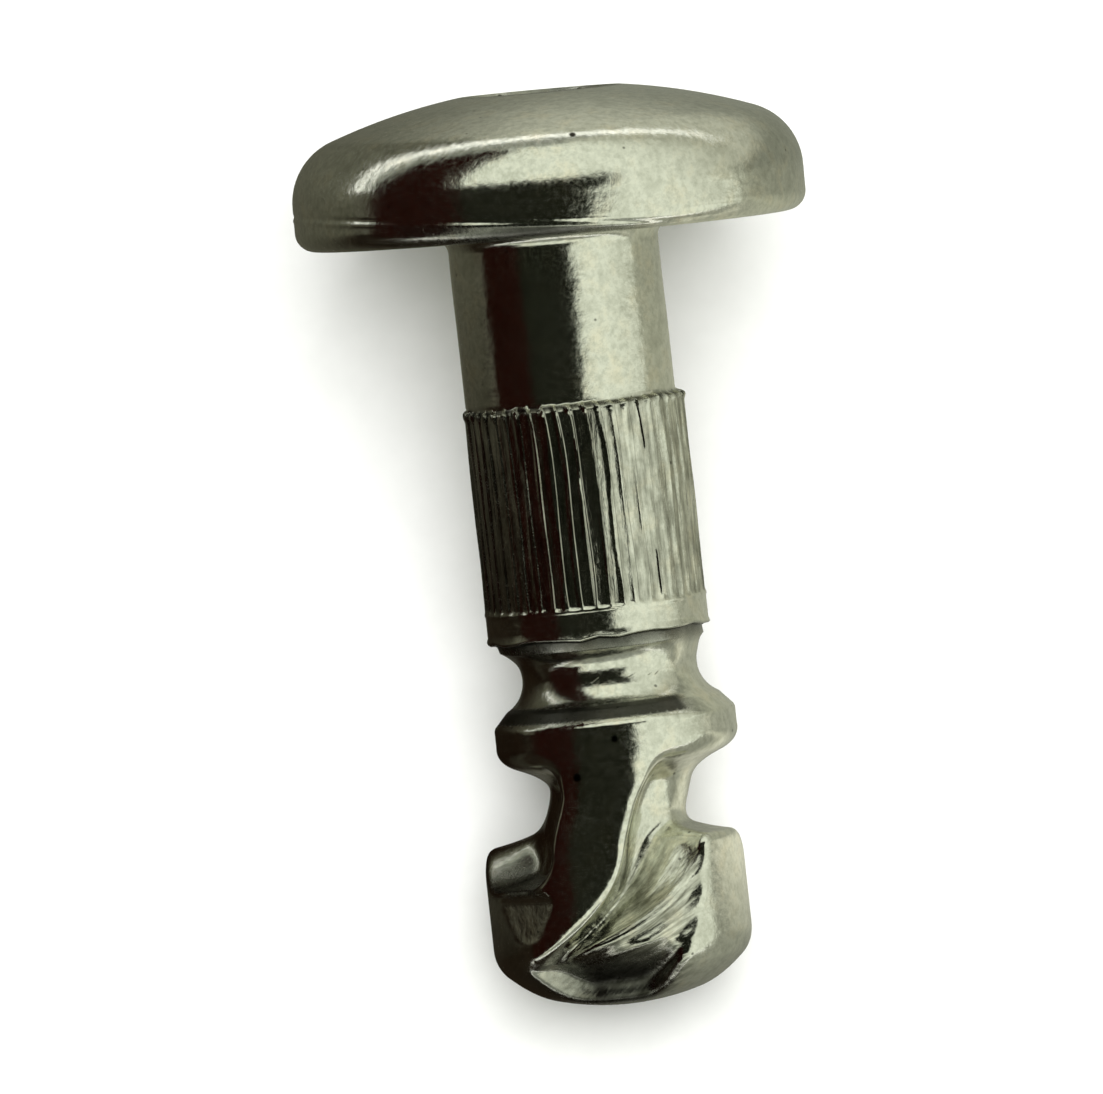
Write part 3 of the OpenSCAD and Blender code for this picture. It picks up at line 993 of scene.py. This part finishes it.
def add_node(tree, kind, **values):
    node = tree.nodes.new(kind)
    for key, value in values.items():
        if key in node.inputs:
            node.inputs[key].default_value = value
        else:
            setattr(node, key, value)
    return node


def ramp(tree, source, stops):
    node = tree.nodes.new("ShaderNodeValToRGB")
    elements = node.color_ramp.elements
    while len(elements) < len(stops):
        elements.new(0.5)
    for element, (place, colour) in zip(elements, stops):
        element.position = place
        element.color = (*colour, 1)
    tree.links.new(source, node.inputs["Fac"])
    return node.outputs["Color"]


def noise(tree, place, scale, detail, roughness=0.55):
    node = add_node(tree, "ShaderNodeTexNoise", Scale=scale, Detail=detail, Roughness=roughness)
    tree.links.new(place, node.inputs["Vector"])
    return node.outputs["Fac"]


def attribute(tree, name):
    return add_node(tree, "ShaderNodeAttribute", attribute_name=name)


def map_range(tree, source, span, result, interpolation="LINEAR"):
    node = add_node(tree, "ShaderNodeMapRange", interpolation_type=interpolation)
    for key, value in zip(("From Min", "From Max", "To Min", "To Max"), (*span, *result)):
        node.inputs[key].default_value = value
    tree.links.new(source, node.inputs["Value"])
    return node.outputs["Result"]


def scaled(tree, source, low, high):
    """Maps the middle of a noise to a range."""
    return map_range(tree, source, NOISE_MIDDLE, (low, high))


def math_node(tree, operation, first, second):
    node = add_node(tree, "ShaderNodeMath", operation=operation)
    for socket, value in zip(node.inputs, (first, second)):
        if isinstance(value, float):
            socket.default_value = value
        else:
            tree.links.new(value, socket)
    return node.outputs["Value"]


def blend(tree, factor, first, second):
    """Mixes a colour output with a fixed colour."""
    node = add_node(tree, "ShaderNodeMix", data_type="RGBA")
    node.inputs["B"].default_value = (*second, 1)
    tree.links.new(factor, node.inputs["Factor"])
    tree.links.new(first, node.inputs["A"])
    return node.outputs["Result"]


def pit_mask(tree, place):
    """One where the surface has a pit: three large ones and a sparse scatter of small ones."""
    mask = 0.0
    for centre, radius in PITS:
        gap = add_node(tree, "ShaderNodeVectorMath", operation="DISTANCE")
        gap.inputs[1].default_value = centre
        tree.links.new(place, gap.inputs[0])
        reach = (PIT_EDGE[0] * radius, PIT_EDGE[1] * radius)
        edge = map_range(tree, gap.outputs["Value"], reach, (1.0, 0.0), "SMOOTHSTEP")
        mask = math_node(tree, "MAXIMUM", edge, mask)
    cells = add_node(tree, "ShaderNodeTexVoronoi", Scale=DOT_SCALE)
    tree.links.new(place, cells.inputs["Vector"])
    dot = map_range(tree, cells.outputs["Distance"], DOT_EDGE, (DOT_DEPTH, 0.0), "SMOOTHSTEP")
    return math_node(tree, "MAXIMUM", dot, mask)


# Tints, shares, roughness and bumps of the plating, with the strength and height of each bump
PLATING_TINTS = ((0.3, (0.66, 0.665, 0.575)), (0.5, (0.81, 0.815, 0.72)), (0.7, (0.84, 0.805, 0.665)))
MOTTLE_TINT = (0.5, 0.51, 0.43)
STREAK_TINT = (0.16, 0.16, 0.12)
# Dark tint of the painted shade
SHADE_TINT = (0.014, 0.013, 0.009)
PIT_TINT = (0.02, 0.018, 0.012)
PLATING_ROUGHNESS = (0.08, 0.22)
# Roughness that the painted shade adds
SHADE_ROUGHNESS = 0.2
MOTTLE_SHARES = (0.62, -0.28)
STREAK_SHARES = (1.0, -0.2)
SWELL_BUMP = (0.5, 0.03)
STREAK_BUMP = (0.6, 0.03)
GRAIN_BUMP = (0.35, 0.012)


def plated_steel():
    """Bright plating over forged steel: mottled, grained, streaked along knurl and slots, with pits and
    painted shade.
    """
    material, tree, shader = node_tree("plated_steel")
    links = tree.links
    place = attribute(tree, "place").outputs["Vector"]
    flow = attribute(tree, "flow").outputs["Vector"]
    streak = attribute(tree, "streak").outputs["Fac"]
    painted_shade = attribute(tree, "painted_shade").outputs["Fac"]
    cloud = noise(tree, place, scale=1.3, detail=4, roughness=0.6)
    mottle = noise(tree, place, scale=5, detail=4, roughness=0.65)
    grain = noise(tree, place, scale=9, detail=4, roughness=0.6)
    swell = noise(tree, place, scale=1.6, detail=2)
    lines = noise(tree, flow, scale=6, detail=4, roughness=0.6)
    pits = pit_mask(tree, place)
    tint = ramp(tree, cloud, PLATING_TINTS)
    tint = blend(tree, scaled(tree, mottle, *MOTTLE_SHARES), tint, MOTTLE_TINT)
    streaked = math_node(tree, "MULTIPLY", scaled(tree, lines, *STREAK_SHARES), streak)
    tint = blend(tree, streaked, tint, STREAK_TINT)
    # Painted shade darkens the plating where the attribute is set
    tint = blend(tree, painted_shade, tint, SHADE_TINT)
    tint = blend(tree, pits, tint, PIT_TINT)
    links.new(tint, shader.inputs["Base Color"])
    shader.inputs["Metallic"].default_value = 1.0
    shade_roughness = math_node(tree, "MULTIPLY", painted_shade, SHADE_ROUGHNESS)
    roughness = math_node(tree, "ADD", scaled(tree, grain, *PLATING_ROUGHNESS), shade_roughness)
    links.new(roughness, shader.inputs["Roughness"])
    height = math_node(tree, "MULTIPLY", lines, streak)
    normal = None
    bumps = ((swell, SWELL_BUMP), (height, STREAK_BUMP), (grain, GRAIN_BUMP))
    for source, (strength, distance) in bumps:
        bump = add_node(tree, "ShaderNodeBump", Strength=strength, Distance=distance * MM)
        links.new(source, bump.inputs["Height"])
        if normal is not None:
            links.new(normal, bump.inputs["Normal"])
        normal = bump.outputs["Normal"]
    links.new(normal, shader.inputs["Normal"])
    return material


def floor_material():
    """Pale matt paper with a faint grain."""
    material, tree, shader = node_tree("pale_floor")
    coordinates = tree.nodes.new("ShaderNodeTexCoord")
    grain = noise(tree, coordinates.outputs["Object"], scale=900, detail=3)
    tree.links.new(ramp(tree, grain, FLOOR_TINTS), shader.inputs["Base Color"])
    shader.inputs["Roughness"].default_value = FLOOR_ROUGHNESS
    shader.inputs["Specular IOR Level"].default_value = FLOOR_GLOSS
    return material


def glow(name):
    """A plain glow, whose colour is linked later."""
    material = bpy.data.materials.new(name)
    material.use_nodes = True
    tree = material.node_tree
    tree.nodes.clear()
    emission = add_node(tree, "ShaderNodeEmission", Strength=1.0)
    output = tree.nodes.new("ShaderNodeOutputMaterial")
    tree.links.new(emission.outputs["Emission"], output.inputs["Surface"])
    return material


# Tones of the floor as the metal reflects it, by millimetres along the stud from tail to head
LEFT_TONES = ((-12.0, (0.014, 0.010, 0.006)), (-9.5, (0.03, 0.028, 0.02)), (-7.0, (0.008, 0.004, 0.002)),
              (-2.0, (0.014, 0.01, 0.006)), (3.0, (0.045, 0.042, 0.03)), (9.0, (0.085, 0.083, 0.06)),
              (20.0, (0.12, 0.12, 0.09)))
RIGHT_TONES = ((-12.0, (0.32, 0.33, 0.27)), (-8.5, (0.8, 0.8, 0.66)), (-6.0, (0.4, 0.41, 0.34)),
               (3.0, (0.46, 0.47, 0.37)), (8.0, (0.38, 0.39, 0.31)), (12.0, (0.24, 0.25, 0.2)),
               (18.0, (0.24, 0.25, 0.2)), (27.0, (0.52, 0.53, 0.44)))
TONE_REACH = 30.0
TONE_BLEND = 5.0
TONE_SLANT = 0.15


def floor_tones():
    """Glow of the floor in the metal: dark on the left, light on the right, changing along the stud."""
    material = glow("floor_tones")
    tree = material.node_tree
    coordinates = tree.nodes.new("ShaderNodeTexCoord")
    parts = tree.nodes.new("ShaderNodeSeparateXYZ")
    tree.links.new(coordinates.outputs["Object"], parts.inputs["Vector"])
    slanted = math_node(tree, "MULTIPLY", parts.outputs["Y"], TONE_SLANT)
    slanted = math_node(tree, "ADD", parts.outputs["X"], slanted)
    across = map_range(tree, slanted, (-TONE_BLEND * MM, TONE_BLEND * MM), (0.0, 1.0))
    along = map_range(tree, parts.outputs["Y"], (-TONE_REACH * MM, TONE_REACH * MM), (0.0, 1.0))
    mix = add_node(tree, "ShaderNodeMix", data_type="RGBA")
    tree.links.new(across, mix.inputs["Factor"])
    for key, tones in (("A", LEFT_TONES), ("B", RIGHT_TONES)):
        stops = [((place + TONE_REACH) / (2 * TONE_REACH), tone) for place, tone in tones]
        tree.links.new(ramp(tree, along, stops), mix.inputs[key])
    tree.links.new(mix.outputs["Result"], tree.nodes["Emission"].inputs["Color"])
    return material


# Stage, in metres and watts
FLOOR_HALF = 1.5
WORLD_COLOUR = (0.95, 1.0, 0.86)
WORLD_STRENGTH = 0.3
LAMP_PLACE = (0.1, 0.1, 0.9)
LAMP_SIZE = (0.9, 0.9)
LAMP_POWER = 14
CARD_RISE = 0.05 * MM
FLOOR_CARD_SIDES = (-0.09, 0.15, -0.06, 0.08)
CARD_STEPS = 60

# Tones of the cards, by share from their left to their right
SKY = (0.86, 0.9, 0.78)
SKY_RIGHT = (0.46, 0.47, 0.38)
DARK = (0.008, 0.009, 0.005)
RED = (0.011, 0.002, 0.001)
LEFT_LOW = (0.010, 0.007, 0.004)
LEFT_MIDDLE = (0.085, 0.082, 0.062)
LEFT_HIGH = (0.11, 0.108, 0.082)


def plain(tone):
    return ((0.0, tone), (1.0, tone))


FADING_SKY = ((0.0, SKY), (0.62, SKY), (0.87, SKY_RIGHT), (1.0, SKY_RIGHT))
EDGED_DARK = ((0.0, DARK), (0.92, DARK), (1.0, SKY))
SKY_SPAN = (-60, 118)
LEFT_SPAN = (-130, -86)

# Cards that only the metal reflects: radius, then rows of height, bearings and tones from tail to head
CARDS = (
    ("sky_card", 120, (
        (-150, SKY_SPAN, plain(SKY)),
        (-25.5, SKY_SPAN, plain(SKY)),
        (-23.5, SKY_SPAN, FADING_SKY),
        (-16, SKY_SPAN, FADING_SKY),
        (-14, SKY_SPAN, plain(SKY)),
        (-7, SKY_SPAN, plain(SKY)),
        (-3, SKY_SPAN, FADING_SKY),
        (900, SKY_SPAN, FADING_SKY),
    )),
    ("dark_card", 90, (
        (-50, (-40, 27), EDGED_DARK),
        (-45, (-40, 27), EDGED_DARK),
        (-12, (-40, 18), EDGED_DARK),
        (-6, (-40, 19), EDGED_DARK),
        (6, (-40, 31), EDGED_DARK),
        (31, (-40, 33), EDGED_DARK),
    )),
    ("red_card", 90, (
        (-90, (-86, -40), plain(RED)),
        (31, (-86, -40), plain(RED)),
        (200, (-80, -35), plain(RED)),
        (450, (-72, -28), plain(RED)),
    )),
    ("left_card", 90, (
        (-60, LEFT_SPAN, plain(LEFT_LOW)),
        (-14, LEFT_SPAN, plain(LEFT_LOW)),
        (-9, LEFT_SPAN, plain(LEFT_MIDDLE)),
        (25, LEFT_SPAN, plain(LEFT_HIGH)),
    )),
)


def stage_mesh(name, points, faces, material):
    item = mesh_item(name, points, faces)
    item.data.materials.append(material)
    return item


def reflected_only(item):
    """A card that metal reflects but that neither the camera nor the floor sees."""
    item.visible_camera = False
    item.visible_diffuse = False
    item.visible_shadow = False
    item.visible_transmission = False
    item.visible_volume_scatter = False
    return item


def card_glow():
    """Glow in the tones that a card's points carry."""
    material = glow("card_glow")
    tree = material.node_tree
    tree.links.new(attribute(tree, "tone").outputs["Color"], tree.nodes["Emission"].inputs["Color"])
    return material


def arched_card(name, radius, rows, material):
    """A card bent round the stud's axis, from rows of a height, two bearings and the tones between them."""
    share = np.linspace(0, 1, CARD_STEPS)
    points = []
    tones = []
    for z, bearings, stops in rows:
        angle = np.radians(bearings[0] + (bearings[1] - bearings[0]) * share)
        points += [in_world((radius * math.sin(a), -radius * math.cos(a), z)) for a in angle]
        places = [place for place, _ in stops]
        channels = [np.interp(share, places, [tone[i] for _, tone in stops]) for i in range(3)]
        tones.append(np.stack(channels + [np.ones(CARD_STEPS)], -1))
    faces = []
    for row in range(len(rows) - 1):
        for i in range(row * CARD_STEPS, (row + 1) * CARD_STEPS - 1):
            faces.append((i, i + 1, i + 1 + CARD_STEPS, i + CARD_STEPS))
    card = reflected_only(stage_mesh(name, points, faces, material))
    tone = card.data.attributes.new("tone", "FLOAT_COLOR", "POINT")
    tone.data.foreach_set("color", np.concatenate(tones).astype(np.float32).ravel())
    return card


def level_sheet(name, left, right, tail, head, z, material):
    corners = [(left, tail, z), (right, tail, z), (right, head, z), (left, head, z)]
    return stage_mesh(name, corners, [(0, 1, 2, 3)], material)


def soft_box(name, place, target, size, power):
    light = bpy.data.lights.new(name, "AREA")
    light.shape = "RECTANGLE"
    light.size, light.size_y = size
    light.energy = power
    item = bpy.data.objects.new(name, light)
    item.location = place
    item.rotation_euler = (Vector(place) - Vector(target)).to_track_quat("Z", "Y").to_euler()
    bpy.context.scene.collection.objects.link(item)
    return item


def set_world(colour, strength):
    world = bpy.data.worlds.new("studio")
    world.use_nodes = True
    background = world.node_tree.nodes["Background"]
    background.inputs["Color"].default_value = (*colour, 1)
    background.inputs["Strength"].default_value = strength
    bpy.context.scene.world = world


# Camera: the photograph's frame, its scale and the stud's place in it
PHOTO_W = 1103
PHOTO_H = 1094
MM_PER_PIXEL = 0.0285
AXIS_PIXEL = (564.0, 300.0)
AXIS_SIDE_PIXELS = -4.5
SEAT_PIXELS = -70.5
PHOTO_ROLL_DEG = 6.24
VIEW_RISE_DEG = 2.6
CAMERA_DISTANCE = 0.5
SENSOR_W = 36.0
CLIP_START = 0.01


def set_camera():
    roll = math.radians(PHOTO_ROLL_DEG)
    rise = math.radians(VIEW_RISE_DEG)
    right = math.cos(roll)
    down = math.sin(roll)
    off_x = PHOTO_W / 2 - AXIS_PIXEL[0]
    off_y = PHOTO_H / 2 - AXIS_PIXEL[1]
    along = off_x * down + off_y * right
    across = off_x * right - off_y * down
    side = (across - AXIS_SIDE_PIXELS) * MM_PER_PIXEL
    below_seat = (along - SEAT_PIXELS) * MM_PER_PIXEL
    target = in_world((side, 0, -below_seat))
    towards = stud_turn @ Vector((0, -math.cos(rise), math.sin(rise)))
    flat_up = stud_turn @ Vector((0, math.sin(rise), math.cos(rise)))
    image_right = to_right * right - flat_up * down
    image_up = to_right * down + flat_up * right
    data = bpy.data.cameras.new("camera")
    data.sensor_width = SENSOR_W
    data.sensor_fit = "HORIZONTAL"
    data.lens = SENSOR_W * CAMERA_DISTANCE / (PHOTO_W * MM_PER_PIXEL * MM)
    data.clip_start = CLIP_START
    camera = bpy.data.objects.new("camera", data)
    bpy.context.scene.collection.objects.link(camera)
    turn = Matrix((image_right, image_up, towards)).transposed().to_4x4()
    camera.matrix_world = Matrix.Translation(target + towards * CAMERA_DISTANCE) @ turn
    bpy.context.scene.camera = camera


bpy.context.scene.view_settings.view_transform = "Standard"
set_camera()

stud = build_stud()
stud.data.materials.append(plated_steel())
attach(stud, "root")
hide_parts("stud")

level_sheet("floor", -FLOOR_HALF, FLOOR_HALF, -FLOOR_HALF, FLOOR_HALF, 0, floor_material())
set_world(WORLD_COLOUR, WORLD_STRENGTH)
overhead = soft_box("overhead", LAMP_PLACE, (0, 0, 0), LAMP_SIZE, LAMP_POWER)
overhead.visible_glossy = False
tone_glow = card_glow()
for card_name, card_radius, card_rows in CARDS:
    arched_card(card_name, card_radius, card_rows, tone_glow)
reflected_only(level_sheet("floor_card", *FLOOR_CARD_SIDES, CARD_RISE, floor_tones()))
